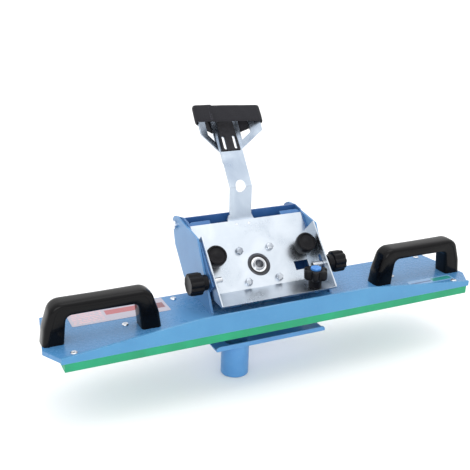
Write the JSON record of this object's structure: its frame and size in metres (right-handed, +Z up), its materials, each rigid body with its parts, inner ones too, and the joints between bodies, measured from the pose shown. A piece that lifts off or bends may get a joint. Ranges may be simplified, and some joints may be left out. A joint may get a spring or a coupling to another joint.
{
  "type": "tile mitre cutting guide for an angle grinder",
  "caption": "Hand-guided tile edge cutter: long base with handles, tilting box with a spindle for a grinder, yoke arm and dust spout.",
  "frame": {"origin": "middle of the front edge of the sole's sliding face", "axes": "+X along the base to the right, +Y from the front rail to the back, +Z up"},
  "size_m": [0.66, 0.2251, 0.3576],
  "materials": {
    "blue_paint": "semi-gloss powder coat",
    "light_blue_rail": "semi-gloss powder coat",
    "green_plastic": "low-friction plastic, satin",
    "bright_steel": "zinc plated",
    "bearing_steel": "ground and polished",
    "zinc_plate": "bright zinc plated sheet",
    "housing_alloy": "machined",
    "gloss_black_plastic": "gloss moulded",
    "black_plastic": "fine textured moulding",
    "blue_plastic": "satin moulding",
    "black_rubber": "matt",
    "strap_fabric": "hook-and-loop webbing",
    "label_film": "printed film",
    "blade_steel": "painted steel disc",
    "diamond_segment": "sintered metal"
  },
  "bodies": {
    "base": {"base_deck": "blue_paint", "front_rail": "light_blue_rail", "front_sole": "green_plastic", "rear_sole_left": "green_plastic", "rear_sole_right": "green_plastic", "middle_sole_pads": "green_plastic", "front_sole_screws": "bright_steel", "deck_screws": "bright_steel", "trough_screws": "bright_steel", "left_handle": "gloss_black_plastic", "right_handle": "gloss_black_plastic", "handle_bolts": "bright_steel", "left_side_plate": "blue_paint", "right_side_plate": "blue_paint", "hinge_pins": "bright_steel", "hinge_nuts": "bright_steel", "left_label": "label_film", "right_label": "label_film", "dust_trough": "blue_paint", "dust_tube": "blue_paint"},
    "hood": {"hood_back_plate": "blue_paint", "hood_rear_panel": "blue_paint", "hood_left_cheek": "blue_paint", "hood_right_cheek": "blue_paint", "clamp_weld_nuts": "bright_steel"},
    "tray": {"tray": "zinc_plate", "bearing_housing": "housing_alloy", "housing_bolts": "bright_steel", "bearing_outer_race": "bearing_steel", "bearing_seals": "black_rubber", "stop_nut": "bright_steel", "arm": "zinc_plate", "arm_rivets": "bright_steel", "yoke": "zinc_plate", "yoke_lining": "black_rubber", "strap": "strap_fabric"},
    "spindle": {"spindle": "bearing_steel", "bearing_inner_race": "bearing_steel", "bearing_balls": "bearing_steel", "blade_flange": "bright_steel", "blade_nut": "bright_steel", "blade_core": "blade_steel", "blade_rim": "diamond_segment"},
    "left_tray_knob": {"left_tray_knob": "black_plastic", "left_tray_knob_stud": "bright_steel"},
    "right_tray_knob": {"right_tray_knob": "black_plastic", "right_tray_knob_stud": "bright_steel"},
    "left_side_knob": {"left_side_knob": "black_plastic", "left_side_knob_stud": "bright_steel"},
    "right_side_knob": {"right_side_knob": "black_plastic", "right_side_knob_stud": "bright_steel"},
    "stop_screw": {"stop_knob": "black_plastic", "stop_knob_cap": "blue_plastic", "stop_screw": "bright_steel"}
  },
  "joints": [
    {"name": "hood_tilt", "type": "hinge", "parent": "base", "child": "hood", "pos_m": [0, 0.182, 0.103], "axis": [-1, 0, 0], "range_deg": [-2, 4]},
    {"name": "tray_slide", "type": "slide", "parent": "hood", "child": "tray", "axis": [0, 0.7071, 0.7071], "range_m": [-0.01, 0.006]},
    {"name": "spindle_spin", "type": "hinge", "parent": "tray", "child": "spindle", "pos_m": [-0.004, 0.08804, 0.06204], "axis": [0, -0.7071, 0.7071], "continuous": true},
    {"name": "left_tray_knob_turn", "type": "hinge", "parent": "hood", "child": "left_tray_knob", "pos_m": [-0.072, 0.09935, 0.07336], "axis": [0, -0.7071, 0.7071], "range_deg": [-540, 0]},
    {"name": "right_tray_knob_turn", "type": "hinge", "parent": "hood", "child": "right_tray_knob", "pos_m": [0.072, 0.09935, 0.07336], "axis": [0, -0.7071, 0.7071], "range_deg": [-540, 0]},
    {"name": "left_side_knob_turn", "type": "hinge", "parent": "hood", "child": "left_side_knob", "pos_m": [-0.11, 0.066, 0.058], "axis": [-1, 0, 0], "range_deg": [-540, 0]},
    {"name": "right_side_knob_turn", "type": "hinge", "parent": "hood", "child": "right_side_knob", "pos_m": [0.11, 0.066, 0.058], "axis": [1, 0, 0], "range_deg": [-540, 0]},
    {"name": "stop_screw_turn", "type": "hinge", "parent": "tray", "child": "stop_screw", "pos_m": [0.06, 0.036, 0.05], "axis": [0, 0, 1], "range_deg": [-540, 0]}
  ]
}
